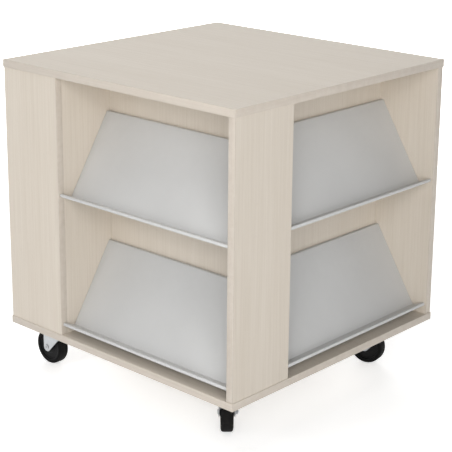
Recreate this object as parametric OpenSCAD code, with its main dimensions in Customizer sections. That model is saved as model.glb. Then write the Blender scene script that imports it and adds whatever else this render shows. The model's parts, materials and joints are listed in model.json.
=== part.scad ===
// A four-sided mobile table for displaying books. A square top and a square base board hold
// four outer panels and four inner panels in a pinwheel round a closed core. Each side has an
// open bay with two sloping sheet-metal shelves. The table stands on four swivel castors.
// The front faces -Y, and the sides follow anticlockwise seen from above: front, right, back, left.

/* [Carcass] */
// Width and depth of the top and base boards
table_w = 820; // [740:10:1000]
// Height from the underside of the base board to the top
body_h = 735; // [680:5:900]
// Thickness of every board, laminate included
board_t = 20; // [16:1:25]
// How far the top and the base stand out past the panels
overhang = 2; // [0:0.5:8]
// Depth of a display bay, from the outer face to the back of the bay
bay_depth = 184; // [165:1:230]
// Thickness of the plastic edge bands
band_t = 2; // [1:0.5:3]

/* [Shelves] */
// Thickness of the sheet steel
sheet_t = 2; // [1:0.5:3]
// Inside radius of each bend in the sheet
bend_r = 1.5; // [0.5:0.5:3]
// Height that a sloping plate climbs
plate_rise = 207; // [140:1:230]
// Distance of a plate's top edge from the back of the bay
plate_back_gap = 11; // [8:1:20]
// Depth of the ledge that a book stands on
ledge_run = 39; // [25:1:60]
// Height that the ledge climbs towards its front edge
ledge_rise = 16; // [6:1:24]
// Height of the lip that is turned down at the front edge
lip_h = 9; // [7:1:14]
// How far the ledge's front edge stays behind the outer face
front_setback = 5; // [2:1:15]
// Space left at each end of a shelf
shelf_end_gap = 0.8; // [0.5:0.1:3]
// Height of the lower shelf's fold above the base board
lower_fold_h = 18; // [12:1:40]
// Height from the lower shelf to the upper one
shelf_pitch = 357; // [320:1:400]
// Height of the flange that hangs on the back of the bay
flange_h = 45; // [36:1:60]
// Distance of a shelf screw from the end of the shelf
shelf_screw_inset = 95; // [40:1:200]
// Depth of a shelf screw below the shelf's top edge
shelf_screw_drop = 16; // [12:1:20]
// Shank diameter of a shelf screw
shelf_screw_d = 4.4; // [3:0.1:5]
// Length of a shelf screw's shank
shelf_screw_l = 17; // [12:1:20]
// Head diameter of a shelf screw
shelf_screw_head_d = 9; // [8:0.5:10]

/* [Joinery] */
// Diameter of the wooden dowels
dowel_d = 8; // [6:1:10]
// Length of the wooden dowels
dowel_l = 35; // [24:1:40]
// Depth that a dowel sits in a board's face
dowel_face_depth = 11.5; // [8:0.5:13]
// Distance of the end fasteners from the ends of a panel
panel_fastener_inset = 42; // [30:1:60]
// Distance of the side dowels from the top and the base board
side_dowel_inset = 130; // [80:1:200]
// Shank diameter of the screws that hold the base
base_screw_d = 6.6; // [5:0.1:7]
// Length of the screws that hold the base
base_screw_l = 50; // [40:1:60]
// Head diameter of the screws that hold the base
base_screw_head_d = 10; // [9:0.5:11]

/* [Castors] */
// Height of a castor, from the floor to the base board
castor_h = 134; // [128:1:160]
// Distance of a mounting plate from the edges of the base board
plate_inset = 50; // [45:1:90]
// Distance of the axle from the pivot, seen from above
trail = 43; // [32:1:43]
// Diameter of a wheel
wheel_d = 100; // [80:1:100]
// Width of a tyre
wheel_w = 32; // [24:1:38]
// Radius of the tyre's rounded shoulders
shoulder_r = 7; // [3:0.5:9]
// Thickness of the tyre's rubber at the tread
tyre_t = 8; // [5:0.5:12]
// Thickness of the fork's steel
fork_t = 2.5; // [2:0.5:4]
// Space between a tyre and the fork's legs
wheel_side_gap = 3; // [2:0.5:5]
// Space between the tread and the arch in the fork's front
hood_gap = 6; // [5:0.5:9]
// Radius of the corners of that arch
hood_arch_r = 12; // [8:1:14]
// Distance of the fork's front edge from the pivot
fork_front = 35; // [32:1:38]
// Radius of the fork's rounded shoulders
fork_shoulder_r = 9; // [5:0.5:12]
// Radius of a fork leg round the axle
leg_end_r = 13; // [9:0.5:15]
// Radius of the fork's crown round the pivot
crown_r = 31; // [28:0.5:34]
// Width of a mounting plate
plate_w = 100; // [88:1:110]
// Depth of a mounting plate
plate_d = 85; // [74:1:95]
// Thickness of a mounting plate
plate_t = 3; // [2:0.5:5]
// Distance between the plate's holes across its width
hole_pitch_w = 80; // [74:1:84]
// Distance between the plate's holes across its depth
hole_pitch_d = 60; // [56:1:64]
// Diameter of the plate's holes
hole_d = 9; // [7:0.1:10]
// Diameter of the rivet that a fork turns on
kingpin_d = 12; // [10:0.5:14]
// Diameter of the balls in the swivel bearing
ball_d = 7; // [5:0.5:7]
// Radius of the ring of balls
ball_ring_r = 20.5; // [18:0.5:22]
// Number of balls in a swivel bearing
ball_count = 16; // [10:1:16]
// Diameter of the axle bolt
axle_d = 8; // [6:0.5:10]
// Thickness of the wall of the sleeve that a wheel turns on
sleeve_t = 2; // [1:0.5:3]
// Shank diameter of a castor screw
castor_screw_d = 6; // [5:0.1:6.5]
// Length of a castor screw's shank
castor_screw_l = 18; // [12:1:18]
// Direction that the front left castor trails in, from +X towards +Y
front_left_heading = 180; // [0:1:359]
// Direction that the front right castor trails in
front_right_heading = 134; // [0:1:359]
// Direction that the back right castor trails in
back_right_heading = 189; // [0:1:359]
// Direction that the back left castor trails in
back_left_heading = 160; // [0:1:359]

/* [Clearances] */
// Radial clearance of parts that turn on each other
running_fit = 0.08; // [0.05:0.01:0.1]
// Radial clearance of dowels and screws in their holes
hole_fit = 0.05; // [0.02:0.01:0.1]
// Axial clearance of parts that turn on each other
axial_gap = 0.3; // [0.2:0.1:0.6]
// Hairline joint between the strips of an edge band
band_joint = 0.05; // [0.02:0.01:0.2]

/* [Hidden] */
$fn = 64;

SIDES = [0, 1, 2, 3];
CORNERS = [0, 1, 2, 3];
FRONT = 0;
RIGHT = 1;
BACK = 2;
LEFT = 3;
wood_colour = "#d8d0c3";
band_colour = "#ddd6ca";
sheet_colour = "#c4c4c2";
zinc_colour = "#c3c5c7";
dowel_colour = "#c9a877";
tyre_colour = "#202020";
hub_colour = "#2a2a2a";

// Heights from the floor
base_z = castor_h;
base_top_z = base_z + board_t;
top_z = base_z + body_h;
top_under_z = top_z - board_t;
panel_h = top_under_z - base_top_z;

// Plan of the front side, which the other sides repeat turned by quarter turns
half_w = table_w / 2;
outer_face = half_w - overhang;
inner_face = outer_face - board_t;
bay_back = outer_face - bay_depth;
core_half = bay_back - board_t;
outer_panel_w = bay_depth + board_t;
inner_panel_l = inner_face + core_half;
outer_mid = outer_face - board_t / 2;
inner_mid = bay_back - board_t / 2;

// Fasteners of the panels
dowel_edge_depth = dowel_l - dowel_face_depth;
bore_spare = 0.5;
outer_fastener_x = [
  -outer_face + panel_fastener_inset,
  -outer_face + outer_panel_w - panel_fastener_inset
];
inner_fastener_x = [-core_half + panel_fastener_inset, inner_face - panel_fastener_inset];
side_dowel_z = [base_top_z + side_dowel_inset, top_under_z - side_dowel_inset];
base_screw_head_h = 3;
dowel_chamfer = 1;

// Shelf profile: distance out from the back of the bay, and height above the fold
plate_run = bay_depth - plate_back_gap - ledge_run - front_setback;
fold_out = plate_back_gap + plate_run;
tip_out = fold_out + ledge_run;
shelf_profile = [
  [0, plate_rise - flange_h],
  [0, plate_rise],
  [plate_back_gap, plate_rise],
  [fold_out, 0],
  [tip_out, ledge_rise],
  [tip_out, ledge_rise - lip_h]
];
bend_steps = 5;
shelf_x0 = -core_half + shelf_end_gap;
shelf_l = inner_face + core_half - 2 * shelf_end_gap;
lower_fold_z = base_top_z + lower_fold_h;
upper_fold_z = lower_fold_z + shelf_pitch;
shelf_screw_x = [shelf_x0 + shelf_screw_inset, shelf_x0 + shelf_l - shelf_screw_inset];
shelf_screw_head_h = 2.6;
keyhole_drop = 13;
keyhole_fit = 0.3;

// Castor heights, from the floor up
wheel_r = wheel_d / 2;
axle_z = wheel_r;
plate_z = castor_h - plate_t;
upper_race_h = 8;
race_split = 3;
lower_race_h = 3;
race_half_w = 8.5;
upper_race_z = plate_z - upper_race_h;
ball_z = upper_race_z - race_split / 2;
lower_race_z = upper_race_z - race_split;
crown_top_z = lower_race_z - lower_race_h;
crown_z = crown_top_z - fork_t;
pivot = [half_w - plate_inset - plate_w / 2, half_w - plate_inset - plate_d / 2];
kingpin_r = kingpin_d / 2;
kingpin_head_rim = 5;
kingpin_head_r = kingpin_r + kingpin_head_rim;
kingpin_head_h = 4;
leg_inner_y = wheel_w / 2 + wheel_side_gap;
leg_outer_y = leg_inner_y + fork_t;
leg_rear_x = trail + leg_end_r;
axle_r = axle_d / 2;
sleeve_r = axle_r + hole_fit + sleeve_t;
hub_wall = 6;
hub_r = sleeve_r + running_fit + hub_wall;
hub_end_gap = 1;
hub_half_l = leg_inner_y - hub_end_gap;
rim_t = 4;
rim_inset = 1.5;
rim_half_w = wheel_w / 2 - rim_inset;
web_recess = 4;
web_half_t = rim_half_w - web_recess;
core_r = wheel_r - tyre_t;
bolt_head_r = axle_d * 0.9;
bolt_head_h = 2.5;
nut_h = axle_d * 0.8;
bolt_tail = 1.5;
castor_screw_head_r = castor_screw_d * 0.95;
castor_screw_head_h = 4;
HEX = 6;
far = 1;

module wood() { color(wood_colour) children(); }
module zinc() { color(zinc_colour) children(); }

// Turns what is drawn for the front side to another side
module on_side(side) { rotate([0, 0, 90 * side]) children(); }

// A bore along the axis that the child frame's +Z gives
module bore(d, depth, fit = hole_fit) {
  translate([0, 0, -far])
    cylinder(d = d + 2 * fit, h = depth + far);
}

// Places of the vertical fasteners, in the front side's frame
module outer_fastener_places() {
  for (x = outer_fastener_x) translate([x, -outer_mid, 0]) children();
}
module inner_fastener_places() {
  for (x = inner_fastener_x) translate([x, -inner_mid, 0]) children();
}
module panel_fastener_places() {
  for (side = SIDES) on_side(side) {
    outer_fastener_places() children();
    inner_fastener_places() children();
  }
}
// Both ends of the front inner panel, with +Z pointing out of the panel's end
module side_dowel_places() {
  for (z = side_dowel_z) {
    translate([inner_face, -inner_mid, z]) rotate([0, 90, 0]) children();
    translate([-core_half, -inner_mid, z]) rotate([0, -90, 0]) children();
  }
}
// The castors are numbered by corner: front left, front right, back right, back left. Each
// mounting plate is turned with its corner, as the panels are.
function corner_turn(corner) = 90 * (corner - 1);
function heading(corner) =
  [front_left_heading, front_right_heading, back_right_heading, back_left_heading][corner];
module at_pivot(corner) {
  rotate([0, 0, corner_turn(corner)]) translate([pivot.x, -pivot.y, 0]) children();
}
// A castor's own frame: the pivot is the Z axis and the wheel trails towards +X
module at_castor(corner) {
  at_pivot(corner) rotate([0, 0, heading(corner) - corner_turn(corner)]) children();
}
module castor_screw_places() {
  for (x = [-1, 1] * hole_pitch_w / 2)
    for (y = [-1, 1] * hole_pitch_d / 2)
      translate([x, y, 0]) children();
}
module shelf_screw_places(fold_z) {
  for (x = shelf_screw_x)
    translate([x, -bay_back, fold_z + plate_rise - shelf_screw_drop])
      rotate([90, 0, 0]) children();
}

// A square board without its edge bands
module board_core(z) {
  core_w = table_w - 2 * band_t;
  translate([-core_w / 2, -core_w / 2, z]) cube([core_w, core_w, board_t]);
}
// The four strips round a board: two run through, two sit between them
module board_bands(z) {
  short_l = table_w - 2 * (band_t + band_joint);
  for (turn = [0, 180]) rotate([0, 0, turn]) {
    translate([-half_w, -half_w, z]) cube([table_w, band_t, board_t]);
    translate([half_w - band_t, -short_l / 2, z]) cube([band_t, short_l, board_t]);
  }
}

module top_board() {
  wood() difference() {
    board_core(top_under_z);
    panel_fastener_places()
      translate([0, 0, top_under_z]) bore(dowel_d, dowel_face_depth + bore_spare);
  }
}
module top_edge_band() { color(band_colour) board_bands(top_under_z); }

module base_board() {
  wood() difference() {
    board_core(base_z);
    panel_fastener_places() translate([0, 0, base_z]) {
      bore(base_screw_d, board_t + far);
      bore(base_screw_head_d, base_screw_head_h);
    }
    for (corner = CORNERS) at_pivot(corner) castor_screw_places()
      translate([0, 0, base_z])
        bore(castor_screw_d, castor_screw_l - plate_t + bore_spare);
  }
}
module base_edge_band() { color(band_colour) board_bands(base_z); }

module outer_panel(side) {
  wood() on_side(side) difference() {
    translate([-outer_face + band_t, -outer_face, base_top_z])
      cube([outer_panel_w - 2 * band_t, board_t, panel_h]);
    outer_fastener_places() {
      translate([0, 0, top_under_z]) rotate([180, 0, 0])
        bore(dowel_d, dowel_edge_depth + bore_spare);
      translate([0, 0, base_top_z])
        bore(base_screw_d, base_screw_l - board_t + bore_spare);
    }
    // The neighbour's inner panel is dowelled to this one's inner face
    for (z = side_dowel_z)
      translate([-inner_mid, -inner_face, z]) rotate([90, 0, 0])
        bore(dowel_d, dowel_face_depth + bore_spare);
  }
}

module inner_panel(side) {
  wood() on_side(side) difference() {
    translate([-core_half, -bay_back, base_top_z])
      cube([inner_panel_l, board_t, panel_h]);
    inner_fastener_places() {
      translate([0, 0, top_under_z]) rotate([180, 0, 0])
        bore(dowel_d, dowel_edge_depth + bore_spare);
      translate([0, 0, base_top_z])
        bore(base_screw_d, base_screw_l - board_t + bore_spare);
    }
    side_dowel_places() rotate([180, 0, 0]) bore(dowel_d, dowel_edge_depth + bore_spare);
    // The next side's inner panel butts on this one's core face
    for (z = side_dowel_z)
      translate([inner_mid, -core_half, z]) rotate([90, 0, 0])
        bore(dowel_d, dowel_face_depth + bore_spare);
    for (fold_z = [lower_fold_z, upper_fold_z])
      shelf_screw_places(fold_z) rotate([180, 0, 0])
        bore(shelf_screw_d, shelf_screw_l - sheet_t + bore_spare);
  }
}

module panel_edge_bands() {
  color(band_colour) for (side = SIDES) on_side(side)
    for (x = [-outer_face, -outer_face + outer_panel_w - band_t])
      translate([x, -outer_face, base_top_z]) cube([band_t, board_t, panel_h]);
}

// Sheet bending: a path of corners is rounded, and its right-hand side offset by the sheet
function unit(v) = v / norm(v);
function right_of(v) = [v.y, -v.x];
function turns_left(a, b, c) = cross(b - a, c - b) > 0;
function sheet_offset(p, t) = [
  for (i = [0:len(p) - 1])
    let (
      before = right_of(unit(p[max(i, 1)] - p[max(i, 1) - 1])),
      after = right_of(unit(p[min(i + 1, len(p) - 1)] - p[min(i + 1, len(p) - 1) - 1])),
      middle = unit(before + after)
    )
    p[i] + middle * t / (middle * after)
];
function bend(a, b, c, r) =
  let (
    u = unit(a - b),
    w = unit(c - b),
    half = acos(u * w) / 2,
    centre = b + unit(u + w) * r / sin(half),
    from = b + u * r / tan(half) - centre,
    to = b + w * r / tan(half) - centre,
    start = atan2(from.y, from.x),
    raw = atan2(to.y, to.x) - start,
    sweep = raw > 180 ? raw - 360 : raw < -180 ? raw + 360 : raw
  )
  [for (i = [0:bend_steps])
    centre + r * [cos(start + sweep * i / bend_steps), sin(start + sweep * i / bend_steps)]];
// left_r and right_r are the radii where the path turns left and where it turns right
function bent_path(p, left_r, right_r) = [
  p[0],
  for (i = [1:len(p) - 2])
    each bend(p[i - 1], p[i], p[i + 1],
      turns_left(p[i - 1], p[i], p[i + 1]) ? left_r : right_r),
  p[len(p) - 1]
];
function reversed(p) = [for (i = [len(p) - 1:-1:0]) p[i]];
shelf_section = concat(
  bent_path(shelf_profile, bend_r, bend_r + sheet_t),
  reversed(bent_path(sheet_offset(shelf_profile, sheet_t), bend_r + sheet_t, bend_r))
);
// The gusset closes the wedge between the plate and the back of the bay
gusset_inset = sheet_t / 2;
gusset_outline = [
  [0, 0],
  [0, plate_rise - gusset_inset],
  [plate_back_gap, plate_rise - gusset_inset],
  [fold_out - gusset_inset, 0]
];

// Draws a section of the shelf, given as distance out and height, from x to x + l
module along_bay(x, l, fold_z) {
  translate([x + l, -bay_back, fold_z])
    rotate([90, 0, -90]) linear_extrude(l) children();
}

module shelf(side, fold_z) {
  color(sheet_colour) on_side(side) difference() {
    union() {
      along_bay(shelf_x0, shelf_l, fold_z) polygon(shelf_section);
      for (x = [shelf_x0, shelf_x0 + shelf_l - sheet_t])
        along_bay(x, sheet_t, fold_z) polygon(gusset_outline);
    }
    // Keyholes: the narrow slot hangs on the screw, and the head passes lower down
    shelf_screw_places(fold_z) translate([0, 0, -far]) {
      keyhole_h = sheet_t + 2 * far;
      slot_w = shelf_screw_d + 2 * keyhole_fit;
      cylinder(d = slot_w, h = keyhole_h);
      translate([-slot_w / 2, -keyhole_drop, 0]) cube([slot_w, keyhole_drop, keyhole_h]);
      translate([0, -keyhole_drop, 0])
        cylinder(d = shelf_screw_head_d + 4 * keyhole_fit, h = keyhole_h);
    }
  }
}

module shelf_screws() {
  zinc() for (side = SIDES) on_side(side)
    for (fold_z = [lower_fold_z, upper_fold_z])
      shelf_screw_places(fold_z) {
        translate([0, 0, sheet_t - shelf_screw_l])
          cylinder(d = shelf_screw_d, h = shelf_screw_l);
        translate([0, 0, sheet_t])
          cylinder(d = shelf_screw_head_d, h = shelf_screw_head_h);
      }
}

// A dowel whose +Z end sits in a board's face, from the joint at z = 0
module dowel() {
  dowel_r = dowel_d / 2;
  translate([0, 0, -dowel_edge_depth]) rotate_extrude() polygon([
    [0, 0],
    [dowel_r - dowel_chamfer, 0],
    [dowel_r, dowel_chamfer],
    [dowel_r, dowel_l - dowel_chamfer],
    [dowel_r - dowel_chamfer, dowel_l],
    [0, dowel_l]
  ]);
}
module panel_dowels() {
  color(dowel_colour) {
    panel_fastener_places() translate([0, 0, top_under_z]) dowel();
    for (side = SIDES) on_side(side) side_dowel_places() dowel();
  }
}

module base_screws() {
  zinc() panel_fastener_places() translate([0, 0, base_z]) {
    cylinder(d = base_screw_head_d, h = base_screw_head_h);
    translate([0, 0, base_screw_head_h])
      cylinder(d = base_screw_d, h = base_screw_l - base_screw_head_h);
  }
}

module castor_screws() {
  zinc() for (corner = CORNERS) at_pivot(corner) castor_screw_places() {
    translate([0, 0, plate_z - castor_screw_head_h])
      cylinder(r = castor_screw_head_r, h = castor_screw_head_h, $fn = HEX);
    translate([0, 0, plate_z]) cylinder(d = castor_screw_d, h = castor_screw_l);
  }
}

module castor_kingpins() {
  zinc() for (corner = CORNERS) at_pivot(corner) {
    translate([0, 0, crown_z - axial_gap - kingpin_head_h])
      cylinder(r = kingpin_head_r, h = kingpin_head_h);
    translate([0, 0, crown_z - axial_gap])
      cylinder(r = kingpin_r, h = castor_h - crown_z + axial_gap);
  }
}

// The groove that the balls run in
module ball_groove() {
  translate([0, 0, ball_z]) rotate_extrude() translate([ball_ring_r, 0])
    circle(r = ball_d / 2 + running_fit);
}
module race_ring(z, h) {
  translate([0, 0, z]) difference() {
    cylinder(r = ball_ring_r + race_half_w, h = h);
    translate([0, 0, -far]) cylinder(r = ball_ring_r - race_half_w, h = h + 2 * far);
  }
}

module castor_plate(corner) {
  zinc() at_pivot(corner) difference() {
    union() {
      translate([-plate_w / 2, -plate_d / 2, plate_z]) cube([plate_w, plate_d, plate_t]);
      race_ring(upper_race_z, upper_race_h);
    }
    castor_screw_places() translate([0, 0, plate_z - far])
      cylinder(d = hole_d, h = plate_t + 2 * far);
    translate([0, 0, plate_z - far])
      cylinder(r = kingpin_r + hole_fit, h = plate_t + 2 * far);
    ball_groove();
  }
}

module swivel_balls(corner) {
  zinc() at_pivot(corner) for (i = [0:ball_count - 1])
    rotate([0, 0, 360 * i / ball_count])
      translate([ball_ring_r, 0, ball_z]) sphere(d = ball_d);
}

// Side view of the fork: a leg that narrows from the crown to the axle
leg_corner = [-fork_front, crown_z];
leg_axle = [trail, axle_z];
leg_slope = leg_corner - leg_axle;
leg_tangent_turn = atan2(leg_slope.y, leg_slope.x) + acos(leg_end_r / norm(leg_slope));
leg_tangent = leg_axle + leg_end_r * [cos(leg_tangent_turn), sin(leg_tangent_turn)];
leg_edge = unit(leg_tangent - leg_corner);
leg_edge_inward = [-leg_edge.y, leg_edge.x];
module leg_outline() {
  polygon([
    [-fork_front, crown_top_z],
    leg_corner,
    leg_tangent,
    leg_axle,
    [leg_rear_x, axle_z],
    [leg_rear_x, crown_top_z]
  ]);
  translate(leg_axle) circle(r = leg_end_r);
}
// End view of the fork: an arch over the wheel, with rounded shoulders
module arch(half_y, top, r) {
  translate([-half_y, 0]) square([2 * half_y, top - r]);
  translate([-half_y + r, 0]) square([2 * (half_y - r), top]);
  for (y = [-1, 1] * (half_y - r)) translate([y, top - r]) circle(r = r);
}
// Everything behind the sloping front sheet, which joins the legs like a hood
module behind_hood() {
  sheet_back = leg_corner + fork_t * leg_edge_inward;
  polygon([
    sheet_back - wheel_r * leg_edge,
    sheet_back + 2 * norm(leg_slope) * leg_edge,
    [leg_rear_x + 2 * wheel_r, -wheel_r],
    [leg_rear_x + 2 * wheel_r, castor_h]
  ]);
}
// Gives the part of an outline's sideways sweep that lies under an arch
module under_arch(half_y, top, r) {
  intersection() {
    translate([0, leg_outer_y + far, 0]) rotate([90, 0, 0])
      linear_extrude(2 * (leg_outer_y + far)) children();
    translate([-fork_front - far, 0, 0]) rotate([90, 0, 90])
      linear_extrude(fork_front + leg_rear_x + 2 * far) arch(half_y, top, r);
  }
}
module fork_shell() {
  difference() {
    under_arch(leg_outer_y, crown_top_z, fork_shoulder_r) leg_outline();
    under_arch(leg_inner_y, crown_z, fork_shoulder_r - fork_t) behind_hood();
    translate([trail, 0, axle_z]) rotate([90, 0, 0])
      rotate_extrude() rotate(-90) arch(leg_inner_y, wheel_r + hood_gap, hood_arch_r);
  }
}

module fork(corner) {
  zinc() at_castor(corner) difference() {
    union() {
      fork_shell();
      translate([0, 0, crown_z]) cylinder(r = crown_r, h = fork_t);
      race_ring(crown_top_z, lower_race_h);
    }
    translate([0, 0, crown_z - far])
      cylinder(r = kingpin_r + running_fit, h = fork_t + 2 * far);
    ball_groove();
    translate([trail, leg_outer_y + far, axle_z]) rotate([90, 0, 0])
      cylinder(r = axle_r + hole_fit, h = 2 * (leg_outer_y + far));
  }
}

// Frame with its +Z along the axle, from the middle of the wheel
module on_axle(corner) {
  at_castor(corner) translate([trail, 0, axle_z]) rotate([90, 0, 0]) children();
}

module axle_bolt(corner) {
  zinc() on_axle(corner) translate([0, 0, -leg_outer_y]) {
    translate([0, 0, -bolt_head_h]) cylinder(r = bolt_head_r, h = bolt_head_h);
    cylinder(r = axle_r, h = 2 * leg_outer_y + nut_h + bolt_tail);
  }
}

module axle_nut(corner) {
  zinc() on_axle(corner) translate([0, 0, leg_outer_y]) difference() {
    cylinder(r = bolt_head_r, h = nut_h, $fn = HEX);
    translate([0, 0, -far]) cylinder(r = axle_r + hole_fit, h = nut_h + 2 * far);
  }
}

module axle_sleeve(corner) {
  zinc() on_axle(corner) difference() {
    cylinder(r = sleeve_r, h = 2 * leg_inner_y, center = true);
    cylinder(r = axle_r + hole_fit, h = 2 * (leg_inner_y + far), center = true);
  }
}

module wheel(corner) {
  bore_r = sleeve_r + running_fit;
  color(hub_colour) on_axle(corner) rotate_extrude() {
    for (part = [
      [bore_r, hub_r, hub_half_l],
      [hub_r - far, core_r - rim_t + far, web_half_t],
      [core_r - rim_t, core_r - hole_fit, rim_half_w]
    ])
      translate([part[0], -part[2]]) square([part[1] - part[0], 2 * part[2]]);
  }
}

module tyre(corner) {
  half = wheel_w / 2;
  flat_half = half - shoulder_r;
  shoulder_x = wheel_r - shoulder_r;
  color(tyre_colour) on_axle(corner) rotate_extrude() intersection() {
    translate([core_r, -half]) square([tyre_t, wheel_w]);
    union() {
      translate([core_r - far, -flat_half]) square([tyre_t + far, 2 * flat_half]);
      translate([core_r - shoulder_r, -half])
        square([shoulder_x - core_r + shoulder_r, wheel_w]);
      for (y = [-1, 1] * flat_half) translate([shoulder_x, y]) circle(r = shoulder_r);
    }
  }
}

top_board();
top_edge_band();
base_board();
base_edge_band();
outer_panel(FRONT);  // front_outer_panel
outer_panel(RIGHT);  // right_outer_panel
outer_panel(BACK);  // back_outer_panel
outer_panel(LEFT);  // left_outer_panel
inner_panel(FRONT);  // front_inner_panel
inner_panel(RIGHT);  // right_inner_panel
inner_panel(BACK);  // back_inner_panel
inner_panel(LEFT);  // left_inner_panel
panel_edge_bands();
shelf(FRONT, upper_fold_z);  // front_upper_shelf
shelf(RIGHT, upper_fold_z);  // right_upper_shelf
shelf(BACK, upper_fold_z);  // back_upper_shelf
shelf(LEFT, upper_fold_z);  // left_upper_shelf
shelf(FRONT, lower_fold_z);  // front_lower_shelf
shelf(RIGHT, lower_fold_z);  // right_lower_shelf
shelf(BACK, lower_fold_z);  // back_lower_shelf
shelf(LEFT, lower_fold_z);  // left_lower_shelf
shelf_screws();
panel_dowels();
base_screws();
castor_screws();
castor_kingpins();
castor_plate(0);  // front_left_castor_plate
castor_plate(1);  // front_right_castor_plate
castor_plate(2);  // back_right_castor_plate
castor_plate(3);  // back_left_castor_plate
swivel_balls(0);  // front_left_swivel_balls
swivel_balls(1);  // front_right_swivel_balls
swivel_balls(2);  // back_right_swivel_balls
swivel_balls(3);  // back_left_swivel_balls
fork(0);  // front_left_fork
fork(1);  // front_right_fork
fork(2);  // back_right_fork
fork(3);  // back_left_fork
axle_bolt(0);  // front_left_axle_bolt
axle_bolt(1);  // front_right_axle_bolt
axle_bolt(2);  // back_right_axle_bolt
axle_bolt(3);  // back_left_axle_bolt
axle_nut(0);  // front_left_axle_nut
axle_nut(1);  // front_right_axle_nut
axle_nut(2);  // back_right_axle_nut
axle_nut(3);  // back_left_axle_nut
axle_sleeve(0);  // front_left_axle_sleeve
axle_sleeve(1);  // front_right_axle_sleeve
axle_sleeve(2);  // back_right_axle_sleeve
axle_sleeve(3);  // back_left_axle_sleeve
wheel(0);  // front_left_wheel
wheel(1);  // front_right_wheel
wheel(2);  // back_right_wheel
wheel(3);  // back_left_wheel
tyre(0);  // front_left_tyre
tyre(1);  // front_right_tyre
tyre(2);  // back_right_tyre
tyre(3);  // back_left_tyre
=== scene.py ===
import json
import math

import bmesh
import bpy
from mathutils import Matrix, Vector
from mathutils.bvhtree import BVHTree


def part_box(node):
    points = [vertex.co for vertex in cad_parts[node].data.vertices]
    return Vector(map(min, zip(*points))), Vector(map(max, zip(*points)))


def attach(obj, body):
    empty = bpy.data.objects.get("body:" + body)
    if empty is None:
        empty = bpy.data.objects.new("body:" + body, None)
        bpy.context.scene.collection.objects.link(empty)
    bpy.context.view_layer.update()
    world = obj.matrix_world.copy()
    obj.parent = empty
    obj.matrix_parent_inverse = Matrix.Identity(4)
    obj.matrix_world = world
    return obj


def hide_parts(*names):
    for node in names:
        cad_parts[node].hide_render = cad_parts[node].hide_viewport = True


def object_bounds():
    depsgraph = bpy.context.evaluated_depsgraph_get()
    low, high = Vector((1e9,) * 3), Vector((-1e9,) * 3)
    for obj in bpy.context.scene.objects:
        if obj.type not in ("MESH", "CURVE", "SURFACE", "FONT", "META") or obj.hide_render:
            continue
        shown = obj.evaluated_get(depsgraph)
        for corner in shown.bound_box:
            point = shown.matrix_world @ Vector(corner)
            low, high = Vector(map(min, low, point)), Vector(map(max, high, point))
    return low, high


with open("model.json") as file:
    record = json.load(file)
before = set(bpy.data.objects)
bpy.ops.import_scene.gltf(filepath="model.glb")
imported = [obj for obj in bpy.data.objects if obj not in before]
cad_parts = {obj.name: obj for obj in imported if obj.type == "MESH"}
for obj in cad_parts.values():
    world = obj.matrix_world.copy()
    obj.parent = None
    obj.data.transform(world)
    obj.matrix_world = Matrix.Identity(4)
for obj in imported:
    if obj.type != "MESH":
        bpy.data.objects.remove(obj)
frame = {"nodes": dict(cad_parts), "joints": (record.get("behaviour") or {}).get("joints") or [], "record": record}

CAD_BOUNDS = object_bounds()
NODES = frame["nodes"]
RECORD = frame["record"]
BODY_OF = {
    node: body for body, members in RECORD["behaviour"]["bodies"].items() for node in members
}
JOINT_AT = {joint["name"]: Vector(joint["pos_m"]) for joint in frame["joints"]}
SIDES = ("front", "right", "back", "left")
CORNERS = ("front_left", "front_right", "back_right", "back_left")
QUARTER = math.pi / 2
MM = 0.001
WELD = 2e-6
FLAT_WITHIN = math.radians(0.4)
SHARP_ABOVE = math.radians(35.0)
HARDWARE_SHARP_ABOVE = math.radians(24.0)

# Carcass sizes in metres, the same as the solids have
HALF_W = CAD_BOUNDS[1][0]
BOARD_T = 20 * MM
BAND_T = 2 * MM
OVERHANG = 2 * MM
OUTER_FACE = HALF_W - OVERHANG
BAY_DEPTH = 184 * MM
BAY_BACK = OUTER_FACE - BAY_DEPTH
OUTER_PANEL_W = 204 * MM
BASE_Z = 134 * MM

# Rounded edges, which the solids leave out
BAND_ROUNDING = 0.8 * MM
INNER_BAND_ROUNDING = 0.6 * BAND_ROUNDING
SHEET_ROUNDING = 0.5 * MM
PRESSING_ROUNDING = 0.6 * MM

# Colours in linear light
LAMINATE = (0.676, 0.613, 0.532)
LAMINATE_STREAK = (0.600, 0.532, 0.446)
LAMINATE_PORE = (0.521, 0.441, 0.350)
BAND = (0.612, 0.554, 0.486)
BAND_DARK = (0.548, 0.484, 0.414)
SHELF_PAINT = (0.608, 0.610, 0.606)
PAINT_WORN = (0.635, 0.637, 0.635)
ZINC = (0.490, 0.503, 0.516)
ZINC_CLOUD = (0.436, 0.450, 0.465)
# Brighter zinc, for the painted highlight along the castor metal's rounded edges
ZINC_EDGE_HIGHLIGHT = (0.660, 0.670, 0.680)
BEECH = (0.590, 0.400, 0.220)
WHEEL_PLASTIC = (0.0045, 0.0045, 0.0048)
TYRE_RUBBER = (0.0040, 0.0040, 0.0040)
TYRE_DUST = (0.0120, 0.0115, 0.0108)
FLOOR = (0.900, 0.900, 0.900)
WHITE = (1.0, 1.0, 1.0)


# Shader building

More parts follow.
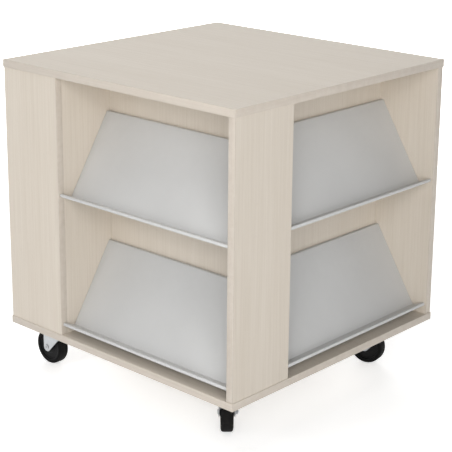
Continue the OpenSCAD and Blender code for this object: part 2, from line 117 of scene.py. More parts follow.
class Shader:
    """A node material with short calls for what the finishes have in common."""

    def __init__(self, name, colour, roughness, metallic=0.0, specular=0.5):
        self.material = bpy.data.materials.new(name)
        self.material.use_nodes = True
        self.tree = self.material.node_tree
        self.surface = self.tree.nodes["Principled BSDF"]
        self.surface.inputs["Base Color"].default_value = (*colour, 1)
        self.surface.inputs["Roughness"].default_value = roughness
        self.surface.inputs["Metallic"].default_value = metallic
        self.surface.inputs["Specular IOR Level"].default_value = specular
        self.coordinates = self.add("ShaderNodeTexCoord").outputs["Object"]

    def add(self, kind, **settings):
        node = self.tree.nodes.new(kind)
        for name, value in settings.items():
            setattr(node, name, value)
        return node

    def link(self, source, target):
        self.tree.links.new(source, target)

    def put(self, value, target):
        """Links a socket, or writes a number or a colour into the target."""
        if isinstance(value, bpy.types.NodeSocket):
            self.link(value, target)
        else:
            target.default_value = value

    def stretched(self, scale, offset=(0, 0, 0)):
        """Object coordinates, in which a pattern is long along the axes with a small scale."""
        mapping = self.add("ShaderNodeMapping")
        mapping.inputs["Location"].default_value = offset
        mapping.inputs["Scale"].default_value = scale
        self.link(self.coordinates, mapping.inputs["Vector"])
        return mapping.outputs["Vector"]

    def noise(self, vector, scale, detail, roughness=0.5, distortion=0.0):
        noise = self.add("ShaderNodeTexNoise")
        self.link(vector, noise.inputs["Vector"])
        noise.inputs["Scale"].default_value = scale
        noise.inputs["Detail"].default_value = detail
        noise.inputs["Roughness"].default_value = roughness
        noise.inputs["Distortion"].default_value = distortion
        return noise.outputs["Fac"]

    def ranged(self, value, low, high, to_low=0.0, to_high=1.0):
        """A value between low and high, spread over another range."""
        spread = self.add("ShaderNodeMapRange")
        self.link(value, spread.inputs["Value"])
        for name, number in (
            ("From Min", low),
            ("From Max", high),
            ("To Min", to_low),
            ("To Max", to_high),
        ):
            spread.inputs[name].default_value = number
        return spread.outputs["Result"]

    def math(self, operation, a, b=0.0):
        node = self.add("ShaderNodeMath", operation=operation)
        self.put(a, node.inputs[0])
        self.put(b, node.inputs[1])
        return node.outputs["Value"]

    def mixed(self, factor, a, b):
        """A colour between a and b; each is a colour or a socket."""
        mix = self.add("ShaderNodeMix", data_type="RGBA")
        self.put(factor, mix.inputs[0])
        for colour, socket in ((a, mix.inputs[6]), (b, mix.inputs[7])):
            self.put((*colour, 1) if isinstance(colour, tuple) else colour, socket)
        return mix.outputs[2]

    def edge_wear_and_highlight(self, patchiness=60):
        """A socket with up to 1 on rounded outer edges, in patches, and 0 on flat faces."""
        geometry = self.add("ShaderNodeNewGeometry")
        edges = self.ranged(geometry.outputs["Pointiness"], 0.53, 0.60)
        patches = self.noise(self.coordinates, scale=patchiness, detail=5, roughness=0.65)
        return self.math("MULTIPLY", edges, self.ranged(patches, 0.42, 0.62))

    def axle_radius(self):
        """Distance from the object's own Z axis."""
        split = self.add("ShaderNodeSeparateXYZ")
        self.link(self.coordinates, split.inputs["Vector"])
        squares = [self.math("POWER", split.outputs[axis], 2.0) for axis in "XY"]
        return self.math("SQRT", self.math("ADD", *squares))

    def bump(self, height, strength, distance):
        bump = self.add("ShaderNodeBump")
        bump.inputs["Strength"].default_value = strength
        bump.inputs["Distance"].default_value = distance
        self.link(height, bump.inputs["Height"])
        self.link(bump.outputs["Normal"], self.surface.inputs["Normal"])

    def colour(self, socket):
        self.link(socket, self.surface.inputs["Base Color"])

    def roughness(self, socket):
        self.link(socket, self.surface.inputs["Roughness"])


def laminate(name, along, offset):
    """Satin maple-pattern laminate, with its grain along one axis."""
    shader = Shader(name, LAMINATE, 0.42, specular=0.35)

    def grain(stretch):
        return shader.stretched([stretch if axis == along else 1.0 for axis in "XYZ"], offset)

    cloud = shader.noise(grain(0.12), scale=9, detail=3, distortion=0.6)
    streaks = shader.noise(grain(0.018), scale=210, detail=5, roughness=0.62, distortion=0.3)
    hair = shader.noise(grain(0.03), scale=620, detail=3, roughness=0.6)
    flecks = shader.noise(grain(0.07), scale=950, detail=2)
    band = shader.ranged(cloud, 0.35, 0.70, 0.0, 0.55)
    fine = shader.ranged(streaks, 0.38, 0.68, 0.0, 0.55)
    darker = shader.math("ADD", shader.math("MULTIPLY", band, 0.5), fine)
    figured = shader.mixed(darker, LAMINATE, LAMINATE_STREAK)
    pores = shader.ranged(flecks, 0.66, 0.78, 0.0, 0.55)
    shader.colour(shader.mixed(pores, figured, LAMINATE_PORE))
    shader.roughness(shader.ranged(hair, 0.3, 0.7, 0.38, 0.47))
    shader.bump(shader.math("ADD", hair, streaks), strength=0.12, distance=0.2 * MM)
    return shader.material


def edge_band(name, along):
    """Plastic edging with a printed grain along one axis, scuffed along its rounded edges."""
    shader = Shader(name, BAND, 0.42, specular=0.35)
    grain = shader.stretched([0.02 if axis == along else 1.0 for axis in "XYZ"])
    streaks = shader.noise(grain, scale=320, detail=4, roughness=0.6, distortion=0.3)
    scuff = shader.noise(shader.coordinates, scale=38, detail=6, roughness=0.7)
    tone = shader.mixed(shader.ranged(streaks, 0.36, 0.68, 0.0, 0.6), BAND, BAND_DARK)
    scuffed = shader.mixed(shader.ranged(scuff, 0.64, 0.82, 0.0, 0.25), tone, BAND_DARK)
    wear = shader.math("MULTIPLY", shader.edge_wear_and_highlight(), 0.6)
    shader.colour(shader.mixed(wear, scuffed, BAND_DARK))
    shader.roughness(shader.ranged(scuff, 0.3, 0.8, 0.38, 0.54))
    shader.bump(streaks, strength=0.10, distance=0.2 * MM)
    return shader.material


def powder_coat(name):
    """Satin grey powder coat: fine orange peel, rubbed lighter along the sheet's edges."""
    shader = Shader(name, SHELF_PAINT, 0.42, specular=0.4)
    peel = shader.noise(shader.coordinates, scale=1100, detail=2)
    broad = shader.noise(shader.coordinates, scale=6, detail=3)
    rubbed = shader.noise(shader.coordinates, scale=24, detail=7, roughness=0.7)
    darker = tuple(0.95 * c for c in SHELF_PAINT)
    tone = shader.mixed(shader.ranged(broad, 0.3, 0.7), darker, SHELF_PAINT)
    tone = shader.mixed(shader.ranged(rubbed, 0.60, 0.82, 0.0, 0.2), tone, PAINT_WORN)
    shader.colour(shader.mixed(shader.edge_wear_and_highlight(), tone, PAINT_WORN))
    shader.roughness(shader.ranged(rubbed, 0.3, 0.8, 0.38, 0.50))
    shader.bump(peel, strength=0.16, distance=0.15 * MM)
    return shader.material


def zinc(name):
    """Zinc plate with a cloudy bloom and fine handling scratches, and a painted highlight along its rounded edges,
    in patches.
    """
    shader = Shader(name, ZINC, 0.36, metallic=1.0)
    cloud = shader.noise(shader.coordinates, scale=70, detail=4, roughness=0.6, distortion=0.8)
    scratch = shader.noise(shader.stretched((1, 0.06, 1)), scale=900, detail=3, roughness=0.6)
    tone = shader.mixed(shader.ranged(cloud, 0.35, 0.75), ZINC, ZINC_CLOUD)
    # Painted highlight: a brighter zinc colour along the rounded edges, in patches, where light would catch them
    shader.colour(shader.mixed(shader.edge_wear_and_highlight(patchiness=120), tone, ZINC_EDGE_HIGHLIGHT))
    shader.roughness(shader.ranged(cloud, 0.3, 0.7, 0.30, 0.46))
    shader.bump(scratch, strength=0.08, distance=0.1 * MM)
    return shader.material


def beech(name):
    """Plain beech with short ray flecks."""
    shader = Shader(name, BEECH, 0.6)
    rays = shader.noise(shader.stretched((1, 1, 0.15)), scale=800, detail=3, roughness=0.6)
    darker = tuple(0.7 * c for c in BEECH)
    shader.colour(shader.mixed(shader.ranged(rays, 0.45, 0.7), BEECH, darker))
    shader.roughness(shader.ranged(rays, 0.3, 0.7, 0.5, 0.7))
    shader.bump(rays, strength=0.2, distance=0.2 * MM)
    return shader.material


def moulded_plastic(name):
    """Black moulded plastic with a fine spark-eroded grain and a few rubbed places."""
    shader = Shader(name, WHEEL_PLASTIC, 0.5, specular=0.14)
    grain = shader.noise(shader.coordinates, scale=1500, detail=2)
    rubbed = shader.noise(shader.coordinates, scale=90, detail=5, roughness=0.65)
    lighter = tuple(1.8 * c for c in WHEEL_PLASTIC)
    shader.colour(shader.mixed(shader.ranged(rubbed, 0.5, 0.8), WHEEL_PLASTIC, lighter))
    shader.roughness(shader.ranged(rubbed, 0.3, 0.8, 0.42, 0.60))
    shader.bump(grain, strength=0.2, distance=0.1 * MM)
    return shader.material


def rubber(name):
    """Black rubber that has picked up dust on the tread; the wheel turns on its own Z axis."""
    shader = Shader(name, TYRE_RUBBER, 0.75, specular=0.12)
    grain = shader.noise(shader.coordinates, scale=1800, detail=2)
    dust = shader.noise(shader.coordinates, scale=130, detail=6, roughness=0.7)
    clean_r, dusty_r = WHEEL_R - 2.5 * MM, WHEEL_R - 0.5 * MM
    tread = shader.ranged(shader.axle_radius(), clean_r, dusty_r, 0.12, 1.0)
    dusty = shader.math("MULTIPLY", tread, shader.ranged(dust, 0.30, 0.65))
    shader.colour(shader.mixed(dusty, TYRE_RUBBER, TYRE_DUST))
    shader.roughness(shader.ranged(dust, 0.3, 0.8, 0.66, 0.85))
    shader.bump(grain, strength=0.25, distance=0.15 * MM)
    return shader.material


# Mesh building

def in_mm(*points):
    """Points given in millimetres, in metres."""
    return [tuple(MM * number for number in point) for point in points]


def rounded(outline, radii, steps=6):
    """A closed outline with each corner rounded by its radius; 0 keeps the corner."""
    result = []
    for i in range(len(outline)):
        p, a, b = (Vector(outline[j % len(outline)]) for j in (i, i - 1, i + 1))
        radius = radii[i] if isinstance(radii, (list, tuple)) else radii
        if radius <= 0:
            result.append(tuple(p))
            continue
        u, w = (a - p).normalized(), (b - p).normalized()
        half = u.angle(w) / 2
        centre = p + (u + w).normalized() * radius / math.sin(half)
        start = p + u * radius / math.tan(half) - centre
        end = p + w * radius / math.tan(half) - centre
        turn = math.atan2(start.x * end.y - start.y * end.x, start.dot(end))
        for step in range(steps + 1):
            arm = start.copy()
            arm.rotate(Matrix.Rotation(turn * step / steps, 2))
            result.append(tuple(centre + arm))
    return result


def mesh_object(name, bm, place=None, sharp_above=SHARP_ABOVE):
    """Turns a bmesh into an object in the table's frame, smooth up to an edge angle."""
    bmesh.ops.recalc_face_normals(bm, faces=bm.faces)
    mesh = bpy.data.meshes.new(name)
    bm.to_mesh(mesh)
    bm.free()
    mesh.polygons.foreach_set("use_smooth", [True] * len(mesh.polygons))
    mesh.set_sharp_from_angle(angle=sharp_above)
    piece = bpy.data.objects.new(name, mesh)
    bpy.context.scene.collection.objects.link(piece)
    if place is not None:
        piece.matrix_world = place
    return piece


def add_prism(bm, outline, low, high, low_scale=1.0):
    """A solid with a flat outline, from z = low, where it may be smaller, to z = high."""
    bottom = [bm.verts.new((low_scale * x, low_scale * y, low)) for x, y in outline]
    top = [bm.verts.new((x, y, high)) for x, y in outline]
    bm.faces.new(bottom[::-1])
    bm.faces.new(top)
    for i in range(len(outline)):
        j = (i + 1) % len(outline)
        bm.faces.new((bottom[i], bottom[j], top[j], top[i]))


def add_lathe(bm, profile, steps, hexagon_w=None):
    """A solid turned about Z from a closed outline of (radius, height) points.

    With hexagon_w nothing reaches outside a hexagon of that width over its flats, which has
    its corners at 0, 60 and so on degrees.
    """
    angles = [2 * math.pi * i / steps for i in range(steps)]

    def reach(radius, angle):
        if hexagon_w is None:
            return radius
        return min(radius, hexagon_w / 2 / math.cos(angle % (math.pi / 3) - math.pi / 6))

    rings = []
    for radius, height in profile:
        if radius < WELD:
            rings.append([bm.verts.new((0, 0, height))])
            continue
        reaches = [reach(radius, a) for a in angles]
        rings.append(
            [
                bm.verts.new((r * math.cos(a), r * math.sin(a), height))
                for r, a in zip(reaches, angles)
            ]
        )
    for ring, following in zip(rings, rings[1:] + rings[:1]):
        if len(ring) == 1 and len(following) == 1:
            continue
        for i in range(steps):
            j = (i + 1) % steps
            corners = [ring[i % len(ring)], ring[j % len(ring)]]
            corners += [following[j % len(following)], following[i % len(following)]]
            bm.faces.new(list(dict.fromkeys(corners)))


def soften(bm, width, segments=2):
    """Rounds every sharp edge, and stays inside the old surface."""
    bm.normal_update()
    surface = BVHTree.FromBMesh(bm)
    edges = [e for e in bm.edges if len(e.link_faces) == 2 and e.calc_face_angle() > SHARP_ABOVE]
    bmesh.ops.bevel(
        bm,
        geom=edges,
        offset=width,
        offset_type="OFFSET",
        segments=segments,
        profile=0.5,
        affect="EDGES",
    )
    for vert in bm.verts:
        nearest, normal, _, distance = surface.find_nearest(vert.co)
        if distance > width or (vert.co - nearest).dot(normal) > WELD:
            vert.co = nearest


def merge(bm, part, places=(Matrix.Identity(4),)):
    """Adds a finished bmesh to another one, once at each place."""
    mesh = bpy.data.meshes.new("scratch")
    part.to_mesh(mesh)
    part.free()
    for place in places:
        copy = mesh.copy()
        copy.transform(place)
        bm.from_mesh(copy)
        bpy.data.meshes.remove(copy)
    bpy.data.meshes.remove(mesh)


def cut(part, tool):
    """What is left of one finished bmesh outside another."""
    pieces = [mesh_object("scratch", part), mesh_object("scratch", tool)]
    modifier = pieces[0].modifiers.new("cut", "BOOLEAN")
    modifier.operation = "DIFFERENCE"
    modifier.solver = "EXACT"
    modifier.object = pieces[1]
    result = bmesh.new()
    result.from_object(pieces[0], bpy.context.evaluated_depsgraph_get())
    for piece in pieces:
        mesh = piece.data
        bpy.data.objects.remove(piece)
        bpy.data.meshes.remove(mesh)
    return result


def box(low, high, rounding):
    """A box with rounded edges, as a finished bmesh."""
    bm = bmesh.new()
    (x0, y0, z0), (x1, y1, z1) = low, high
    add_prism(bm, [(x0, y0), (x1, y0), (x1, y1), (x0, y1)], z0, z1)
    soften(bm, rounding, segments=3)
    return bm


def from_node(node):
    """A fresh bmesh of a CAD node's shape, with its flat faces whole again."""
    bm = bmesh.new()
    bm.from_mesh(NODES[node].data)
    bmesh.ops.remove_doubles(bm, verts=bm.verts, dist=WELD)
    bmesh.ops.dissolve_limit(bm, angle_limit=FLAT_WITHIN, verts=bm.verts, edges=bm.edges)
    return bm


def finish_piece(piece, node, *materials):
    """Gives a piece its materials and body, and lets it stand for its node."""
    for material in materials:
        piece.data.materials.append(material)
    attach(piece, BODY_OF[node])
    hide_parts(node)


def quarter_turn(number):
    """A turn about the table's middle, by a number of right angles."""
    return Matrix.Rotation(QUARTER * number, 4, "Z")


def moved(x, y, z):
    return Matrix.Translation((x, y, z))


# Carcass

def board_band(node, along_x, along_y):
    """Four strips with eased outer edges round a board, in a material for each direction."""
    low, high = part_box(node)
    bm = bmesh.new()
    gap = 0.05 * MM
    inner = HALF_W - BAND_T
    for sign in (-1, 1):
        near, far = sorted((sign * HALF_W, sign * inner))
        merge(bm, box((-HALF_W, near, low.z), (HALF_W, far, high.z), BAND_ROUNDING))
        corner, opposite = (near, gap - inner, low.z), (far, inner - gap, high.z)
        strip = box(corner, opposite, INNER_BAND_ROUNDING)
        for face in strip.faces:
            face.material_index = 1
        merge(bm, strip)
    finish_piece(mesh_object(node + "_strips", bm), node, along_x, along_y)


def panel_bands(node, material):
    """The upright strips on both ends of each outer panel."""
    low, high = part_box(node)
    bm = bmesh.new()
    turns = [quarter_turn(number) for number in range(len(SIDES))]
    for x in (-OUTER_FACE, OUTER_PANEL_W - OUTER_FACE - BAND_T):
        corner = (x, -OUTER_FACE, low.z)
        opposite = (x + BAND_T, BOARD_T - OUTER_FACE, high.z)
        merge(bm, box(corner, opposite, INNER_BAND_ROUNDING), turns)
    finish_piece(mesh_object(node + "_strips", bm), node, material)


def book_shelf(node, material):
    """A bent sheet with its cut edges rounded."""
    bm = from_node(node)
    soften(bm, SHEET_ROUNDING)
    finish_piece(mesh_object(node + "_sheet", bm), node, material)


# Fasteners, whose own +Z points out of the surface that they go into

def thread(low, high, crest, root, pitch):
    """Outline points of a ridged shank, upwards from low to high, in millimetres."""
    ridge = ((root, 0.1), (crest, 0.45), (crest, 0.55), (root, 0.9))
    turns = int((high - low) / pitch)
    return [(r, low + turn * pitch + part * pitch) for turn in range(turns) for r, part in ridge]


def cross_tool(reach, half, low, high):
    """A tapered cross, to cut a screw's recess with; sizes in millimetres."""
    a, b = half * MM, reach * MM
    arm = [(a, a), (a, b), (-a, b), (-a, a), (-b, a), (-b, -a)]
    tool = bmesh.new()
    add_prism(tool, arm + [(-x, -y) for x, y in arm], low * MM, high * MM, low_scale=0.5)
    return tool


def hexagon_tool(corner_r, low, high):
    """A hexagonal bar, to cut a socket with; sizes in millimetres."""
    angles = [math.pi / 3 * i for i in range(6)]
    outline = [(corner_r * MM * math.cos(a), corner_r * MM * math.sin(a)) for a in angles]
    tool = bmesh.new()
    add_prism(tool, outline, low * MM, high * MM)
    return tool


def chamfer(low, high):
    """Points along a chamfer, so that it cuts the corners of a hexagon in an arc."""
    steps = 5
    return [tuple(a + (b - a) * i / steps for a, b in zip(low, high)) for i in range(steps + 1)]


def across_flats(corner_r):
    """Width over a hexagon's flats in metres, from its corner radius in millimetres."""
    return 2 * corner_r * MM * math.cos(math.pi / 6)


def turned_part(profile, radii=None, **settings):
    """A finished bmesh turned from an outline, with its roundings, in millimetres."""
    outline = in_mm(*profile)
    if radii:
        outline = rounded(outline, in_mm(radii)[0], steps=4)
    bm = bmesh.new()
    add_lathe(bm, outline, **settings)
    return bm


def fastener_set(node, part, places, material):
    """One finished fastener at each place, as one piece."""
    bm = bmesh.new()
    merge(bm, part, places)
    piece = mesh_object(node + "_set", bm, sharp_above=HARDWARE_SHARP_ABOVE)
    finish_piece(piece, node, material)


SHELF_SCREW_X = (-108.2 * MM, 292.2 * MM)
SHELF_SCREW_Z = (363 * MM, 720 * MM)
BASE_SCREW_AT = in_mm((-366, -398), (-246, -398), (-162, -214), (346, -214))
CASTOR_SCREW_AT = in_mm((-40, -30), (-40, 30), (40, -30), (40, 30))


def shelf_screws(node, material):
    """Pan-head screws with a cross recess, for the keyholes of the shelves."""
    crest_r, root_r, pitch = 2.2, 1.6, 1.6
    head_r, head_low, head_high = 4.5, 2, 4.6
    shank = [(0, -15), (1.0, -14)] + thread(-13, 0.4, crest_r, root_r, pitch)
    head = [(crest_r, 0.8), (crest_r, head_low), (head_r, head_low)]
    head += [(head_r, head_high), (0, head_high)]
    radii = [0] * (len(shank) + 2) + [0.25, 1.9, 0]
    recess = cross_tool(reach=2.2, half=0.5, low=3.0, high=4.8)
    part = cut(turned_part(shank + head, radii, steps=32), recess)
    upright = Matrix.Rotation(QUARTER, 4, "X")
    places = [
        quarter_turn(number) @ moved(x, -BAY_BACK, z) @ upright
        for number in range(len(SIDES))
        for x in SHELF_SCREW_X
        for z in SHELF_SCREW_Z
    ]
    fastener_set(node, part, places, material)


def base_screws(node, material):
    """Panel screws with a hexagon socket, let into the underside of the base."""
    crest_r, root_r, pitch, head_r, head_h = 3.3, 2.5, 3.0, 5, 3
    shank = [(crest_r, head_h), (crest_r, 20)] + thread(21, 48, crest_r, root_r, pitch)
    outline = [(0, 0), (head_r, 0), (head_r, head_h)] + shank + [(2.4, 49), (1.2, 50), (0, 50)]
    radii = [0, 0.4, 0.1] + [0] * (len(outline) - 3)
    socket = hexagon_tool(corner_r=2.3, low=-0.2, high=2.2)
    part = cut(turned_part(outline, radii, steps=36), socket)
    places = [
        quarter_turn(number) @ moved(x, y, BASE_Z)
        for number in range(len(SIDES))
        for x, y in BASE_SCREW_AT
    ]
    fastener_set(node, part, places, material)


def castor_screws(node, material):
    """Hexagon-head wood screws that hold the castor plates."""
    crest_r, root_r, pitch, head_r, head_h = 3.0, 2.2, 2.2, 5.7, 4.0
    head = [(0, 0)] + chamfer((4.7, 0), (head_r, 0.7)) + [(head_r, 3.5), (4.8, 3.6), (4.8, head_h)]
    shank = [(crest_r, head_h), (crest_r, 9)] + thread(9.5, 20.5, crest_r, root_r, pitch)
    outline = head + shank + [(1.6, 21), (0.8, 22), (0, 22)]
    part = turned_part(outline, steps=36, hexagon_w=across_flats(head_r))
    places = [
        plate_place(corner) @ moved(x, y, BASE_Z - (PLATE_T + head_h) * MM)
        for corner in CORNERS
        for x, y in CASTOR_SCREW_AT
    ]
    fastener_set(node, part, places, material)


def castor_kingpins(node, material):
    """Rivets with domed heads, which hold each fork to its plate."""
    length, shank_r, head_r, head_h = 23.8, 6, 11, 4
    outline = [(0, 0), (7.5, 0), (head_r, 1.6), (head_r, head_h), (shank_r, head_h)]
    outline += [(shank_r, length), (0, length)]
    part = turned_part(outline, [0, 5, 1.2, 0.3, 0, 0.5, 0], steps=64)
    places = [plate_place(corner) @ moved(0, 0, BASE_Z - length * MM) for corner in CORNERS]
    fastener_set(node, part, places, material)


# Castors

WHEEL_R = JOINT_AT["front_left_roll"].z

# Castor sizes in millimetres
PLATE_T = 3
LEG_OUTER_Y = 21.5
CORE_R, BORE_R, HUB_R, HUB_HALF_L = 42, 6.13, 12.13, 18
RIM_HALF_W, RIM_T, WEB_HALF_T, TYRE_HALF_W = 14.5, 4, 10.5, 16
DISH_LOW_R, DISH_HIGH_R, DISH_D = 20, 33.9, 0.9


def plate_place(corner):
    """Frame of a castor's mounting plate, which is turned with its corner."""
    pivot = JOINT_AT[corner + "_swivel"]
    return moved(pivot.x, pivot.y, 0) @ quarter_turn(CORNERS.index(corner) - 1)


def axle_place(corner):
    """Frame in the middle of a wheel, with Z along its axle."""
    wheel = JOINT_AT[corner + "_roll"]
    pivot = JOINT_AT[corner + "_swivel"]
    heading = math.atan2(wheel.y - pivot.y, wheel.x - pivot.x)
    turned = Matrix.Rotation(heading, 4, "Z") @ Matrix.Rotation(QUARTER, 4, "X")
    return Matrix.Translation(wheel) @ turned


def axle_bolt(corner, material):
    """A bolt with a low round head and a hexagon socket; its thread shows past the nut."""
    node = corner + "_axle_bolt"
    crest_r, root_r, pitch, head_r, head_h = 4.0, 3.5, 1.25, 7.2, 2.5
    head_low, tip = -LEG_OUTER_Y - head_h, LEG_OUTER_Y + 7.9
    outline = [(0, head_low), (head_r, head_low), (head_r, -LEG_OUTER_Y)]
    outline += [(crest_r, -LEG_OUTER_Y)] + thread(tip - 9, tip - 0.7, crest_r, root_r, pitch)
    outline += [(3.4, tip), (0, tip)]
    radii = [0, 1.7, 0.2] + [0] * (len(outline) - 3)
    socket = hexagon_tool(corner_r=2.9, low=head_low - 0.2, high=head_low + 1.7)
    bm = cut(turned_part(outline, radii, steps=48), socket)
    piece = mesh_object(node + "_turned", bm, axle_place(corner), HARDWARE_SHARP_ABOVE)
    finish_piece(piece, node, material)


def axle_nut(corner, material):
    """A hexagon lock nut with a round collar."""
    node = corner + "_axle_nut"
    low, bore_r, corner_r = LEG_OUTER_Y, 4.05, 7.2
    outline = [(bore_r, low)] + chamfer((6.0, low), (corner_r, low + 0.7))
    outline += chamfer((corner_r, low + 4.2), (6.0, low + 4.9))
    outline += [(5.7, low + 5.0), (5.6, low + 5.9), (5.2, low + 6.4), (bore_r, low + 6.4)]
    bm = turned_part(outline, steps=72, hexagon_w=across_flats(corner_r))
    piece = mesh_object(node + "_turned", bm, axle_place(corner), HARDWARE_SHARP_ABOVE)
    finish_piece(piece, node, material)


def wheel(corner, material):
    """Hub, dished web with turned steps, and rim, in one moulding."""
    node = corner + "_wheel"
    tyre_gap = 0.05
    rim_in, rim_out = CORE_R - RIM_T, CORE_R - tyre_gap
    half = [
        ((BORE_R, HUB_HALF_L), 0.4),
        ((HUB_R, HUB_HALF_L), 0.7),
        ((HUB_R, WEB_HALF_T), 2.0),
        ((DISH_LOW_R, WEB_HALF_T), 0.6),
        ((DISH_LOW_R + DISH_D, WEB_HALF_T - DISH_D), 0.6),
        ((DISH_HIGH_R - DISH_D, WEB_HALF_T - DISH_D), 0.6),
        ((DISH_HIGH_R, WEB_HALF_T), 0.6),
        ((rim_in, WEB_HALF_T), 1.6),
        ((rim_in, RIM_HALF_W), 0.7),
        ((rim_out, RIM_HALF_W), 0.3),
    ]
    profile = [point for point, _ in half] + [(r, -z) for (r, z), _ in half[::-1]]
    radii = [radius for _, radius in half + half[::-1]]
    bm = turned_part(profile, radii, steps=96)
    finish_piece(mesh_object(node + "_centre", bm, axle_place(corner)), node, material)


def tyre(corner, material):
    """Rubber ring with round shoulders and two fine grooves."""
    node = corner + "_tyre"
    wheel_r = WHEEL_R / MM
    groove_y, groove_half, groove_d, groove_rounding = 7.3, 0.55, 0.5, 0.15
    shoulder_r, bead_r = 7, 0.4
    profile, radii = [(CORE_R, -TYRE_HALF_W), (wheel_r, -TYRE_HALF_W)], [bead_r, shoulder_r]
    for y in (-groove_y, groove_y):
        for offset, depth in ((-groove_half, 0), (0, groove_d), (groove_half, 0)):
            profile.append((wheel_r - depth, y + offset))
            radii.append(groove_rounding)
    profile += [(wheel_r, TYRE_HALF_W), (CORE_R, TYRE_HALF_W)]
    radii += [shoulder_r, bead_r]
    bm = turned_part(profile, radii, steps=128)
    finish_piece(mesh_object(node + "_ring", bm, axle_place(corner)), node, material)


def fork(corner, material):
    """The pressed fork with its cut edges rounded."""
    node = corner + "_fork"
    bm = from_node(node)
    soften(bm, PRESSING_ROUNDING)
    finish_piece(mesh_object(node + "_pressing", bm), node, material)


def race_ring():
    """Upper ball race of a castor, pressed into its plate, with the groove for the balls."""
    inner_r, outer_r, ring_r, low, high = 12, 29, 20.5, 123, 131.4
    groove_z, groove_r, steps = 121.5, 3.58, 12
    inner_rounding, outer_rounding = 0.6, 2.5
    half_turn = math.acos((low - groove_z) / groove_r)
    turns = [half_turn * (2 * i / steps - 1) for i in range(steps + 1)]
    groove = [
        (ring_r + groove_r * math.sin(a), groove_z + groove_r * math.cos(a)) for a in turns
    ]
    outline = [(inner_r, high), (inner_r, low)] + groove + [(outer_r, low), (outer_r, high)]
    radii = [0, inner_rounding] + [0] * len(groove) + [outer_rounding, 0]
    return turned_part(outline, radii, steps=96)


def castor_plate(corner, material):
    """Mounting plate with round corners and screw holes, and the ball race below it."""
    node = corner + "_castor_plate"
    half_w, half_d, corner_r, hole_r, bore_r = 50, 42.5, 7, 4.5, 6.05
    high = 134
    low = high - PLATE_T
    corners = in_mm((-half_w, -half_d), (half_w, -half_d), (half_w, half_d), (-half_w, half_d))
    plate = bmesh.new()
    add_prism(plate, rounded(corners, corner_r * MM), low * MM, high * MM)
    soften(plate, SHEET_ROUNDING)
    holes = bmesh.new()
    for radius, places in (
        (hole_r, [moved(x, y, 0) for x, y in CASTOR_SCREW_AT]),
        (bore_r, [moved(0, 0, 0)]),
    ):
        outline = [(0, low - 1), (radius, low - 1), (radius, high + 1), (0, high + 1)]
        merge(holes, turned_part(outline, steps=48), places)
    bm = cut(plate, holes)
    merge(bm, race_ring())
    bm.transform(plate_place(corner))
    finish_piece(mesh_object(node + "_pressing", bm), node, material)


# Stage

def light_paths(tree):
    """A socket with 1 for camera, glossy and transmission rays, and 0 for the rest."""
    path = tree.nodes.new("ShaderNodeLightPath")
    total = path.outputs["Is Camera Ray"]
    for name in ("Is Glossy Ray", "Is Transmission Ray"):
        largest = tree.nodes.new("ShaderNodeMath")
        largest.operation = "MAXIMUM"
        tree.links.new(total, largest.inputs[0])
        tree.links.new(path.outputs[name], largest.inputs[1])
        total = largest.outputs["Value"]
    return total


SKY_ZENITH = 0.10
SKY_HORIZON = 0.39
LAMP_TARGET_Z = 0.45
FLOOR_REACH = 30.0

# Light that the floor gives off: less near the table, so that its shadow shows
FLOOR_GLOW = 0.52
GLOW_RISES_FROM = 1.0
GLOW_FULL_FROM = 4.0


def build_world():
    """A soft surround, brighter towards the horizon, that looks white behind the table."""
    world = bpy.data.worlds.new("studio")
    world.use_nodes = True
    bpy.context.scene.world = world
    tree = world.node_tree
    background = tree.nodes["Background"]
    background.inputs["Color"].default_value = (*WHITE, 1)
    split = tree.nodes.new("ShaderNodeSeparateXYZ")
    lowness = tree.nodes.new("ShaderNodeMapRange")
    lowness.inputs["To Min"].default_value = 1.0
    lowness.inputs["To Max"].default_value = 0.0
    squared = tree.nodes.new("ShaderNodeMath")
    squared.operation = "POWER"
    squared.inputs[1].default_value = 2.0
    sky = tree.nodes.new("ShaderNodeMapRange")
    sky.inputs["To Min"].default_value = SKY_ZENITH
    sky.inputs["To Max"].default_value = SKY_HORIZON
    strength = tree.nodes.new("ShaderNodeMapRange")
    strength.inputs["To Max"].default_value = 1.0
    direction = tree.nodes.new("ShaderNodeTexCoord").outputs["Generated"]
    for source, target in (
        (direction, split.inputs["Vector"]),
        (split.outputs["Z"], lowness.inputs["Value"]),
        (lowness.outputs["Result"], squared.inputs[0]),
        (squared.outputs["Value"], sky.inputs["Value"]),
        (sky.outputs["Result"], strength.inputs["To Min"]),
        (light_paths(tree), strength.inputs["Value"]),
        (strength.outputs["Result"], background.inputs["Strength"]),
    ):
        tree.links.new(source, target)


def build_floor():
    """A pale floor that looks white, except in the table's shadow near it."""
    bm = bmesh.new()
    corners = [(x * FLOOR_REACH, y * FLOOR_REACH) for x, y in ((-1, -1), (1, -1), (1, 1), (-1, 1))]
    bm.faces.new([bm.verts.new((x, y, 0)) for x, y in corners])
    floor = mesh_object("studio_floor", bm)
    shader = Shader("pale_floor", FLOOR, 0.9)
    glow = shader.surface.inputs["Emission Strength"]
    shader.surface.inputs["Emission Color"].default_value = (*WHITE, 1)
    distance = shader.axle_radius()
    bright = shader.ranged(distance, GLOW_RISES_FROM, GLOW_FULL_FROM, FLOOR_GLOW, 1.0)
    shader.link(shader.math("MULTIPLY", light_paths(shader.tree), bright), glow)
    floor.data.materials.append(shader.material)


def area_light(name, position, width, height, power, glossy=True):
    """A soft rectangular lamp that faces the table; it may be left out of reflections."""
    data = bpy.data.lights.new(name, "AREA")
    data.shape = "RECTANGLE"
    data.size = width
    data.size_y = height
    data.energy = power
    light = bpy.data.objects.new(name, data)
    light.visible_glossy = glossy
    bpy.context.scene.collection.objects.link(light)
    direction = Vector((0, 0, LAMP_TARGET_Z)) - Vector(position)
    light.matrix_world = (
        Matrix.Translation(position) @ direction.to_track_quat("-Z", "Y").to_matrix().to_4x4()
    )


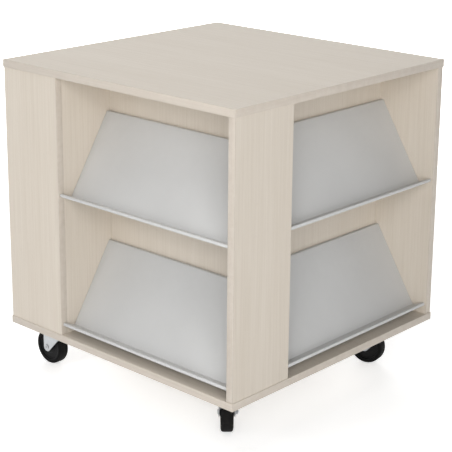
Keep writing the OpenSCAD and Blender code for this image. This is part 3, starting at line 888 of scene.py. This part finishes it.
def around(azimuth, elevation, distance):
    """A place round the table: azimuth from the front towards the right, in degrees."""
    a, e = math.radians(azimuth), math.radians(elevation)
    return (
        distance * math.sin(a) * math.cos(e),
        -distance * math.cos(a) * math.cos(e),
        LAMP_TARGET_Z + distance * math.sin(e),
    )


def build_lights():
    """Two broad fills that cast no glare on the top, a small key lamp and one overhead."""
    area_light("front_fill", around(45, 16, 6.0), 4.0, 4.0, power=253, glossy=False)
    area_light("rear_fill", around(225, 12, 6.0), 4.0, 2.4, power=240, glossy=False)
    area_light("key", around(-10, 29, 6.0), 0.9, 0.9, power=31)
    area_light("top_fill", around(-40, 75, 4.0), 3.0, 3.0, power=64)


# Camera of the photograph
VIEW_AZIMUTH = math.radians(42.60)
VIEW_ELEVATION = math.radians(16.21)
VIEW_ROLL = math.radians(0.48)
VIEW_DISTANCE = 3.6866
VIEW_TARGET_Z = 0.5360
VIEW_LENS = 109.147
VIEW_SENSOR = 36
VIEW_SHIFT = (0.0046, -0.0996)


def build_camera():
    """A camera at the photograph's angle, aimed by its shift as well."""
    sin_a, cos_a = math.sin(VIEW_AZIMUTH), math.cos(VIEW_AZIMUTH)
    sin_e, cos_e = math.sin(VIEW_ELEVATION), math.cos(VIEW_ELEVATION)
    back = Vector((sin_a * cos_e, -cos_a * cos_e, sin_e))
    right = Vector((cos_a, sin_a, 0))
    level = Matrix((right, back.cross(right), back)).transposed().to_4x4()
    data = bpy.data.cameras.new("camera")
    data.lens = VIEW_LENS
    data.sensor_width = VIEW_SENSOR
    data.shift_x, data.shift_y = VIEW_SHIFT
    camera = bpy.data.objects.new("camera", data)
    place = Vector((0, 0, VIEW_TARGET_Z)) + back * VIEW_DISTANCE
    camera.matrix_world = Matrix.Translation(place) @ level @ Matrix.Rotation(VIEW_ROLL, 4, "Z")
    bpy.context.scene.collection.objects.link(camera)
    bpy.context.scene.camera = camera


# The table

def paint(node, material):
    """A CAD node that is shown as it is gets its material."""
    mesh = NODES[node].data
    mesh.materials.clear()
    mesh.materials.append(material)


def build_carcass():
    """Edge bands, and a laminate for each board, whose grain starts at a place of its own."""
    bands = {axis: edge_band("edge_band_" + axis.lower(), axis) for axis in "XYZ"}
    paint("top_board", laminate("top_laminate", "X", offset=(0.3, 0.1, 0.7)))
    paint("base_board", laminate("base_laminate", "X", offset=(1.3, 2.1, 0.2)))
    for number, side in enumerate(SIDES):
        for kind, shift in (("outer_panel", 0.0), ("inner_panel", 5.0)):
            offset = (0.37 * number + shift, 0.91 * number + shift, 0.53 * number)
            name = f"{side}_{kind}"
            paint(name, laminate(name + "_laminate", "Z", offset))
    for node in ("top_edge_band", "base_edge_band"):
        board_band(node, bands["X"], bands["Y"])
    panel_bands("panel_edge_bands", bands["Z"])
    paint("panel_dowels", beech("dowel_wood"))


def build_shelves():
    coat = powder_coat("shelf_paint")
    for level in ("upper", "lower"):
        for side in SIDES:
            book_shelf(f"{side}_{level}_shelf", coat)


def build_hardware():
    plating = zinc("zinc")
    plastic = moulded_plastic("wheel_plastic")
    tread = rubber("tyre_rubber")
    shelf_screws("shelf_screws", plating)
    base_screws("base_screws", plating)
    castor_screws("castor_screws", plating)
    castor_kingpins("castor_kingpins", plating)
    for corner in CORNERS:
        castor_plate(corner, plating)
        fork(corner, plating)
        axle_bolt(corner, plating)
        axle_nut(corner, plating)
        wheel(corner, plastic)
        tyre(corner, tread)
        for part in ("swivel_balls", "axle_sleeve"):
            paint(f"{corner}_{part}", plating)


build_carcass()
build_shelves()
build_hardware()
build_floor()
build_world()
build_lights()
build_camera()
bpy.context.scene.view_settings.view_transform = "Standard"
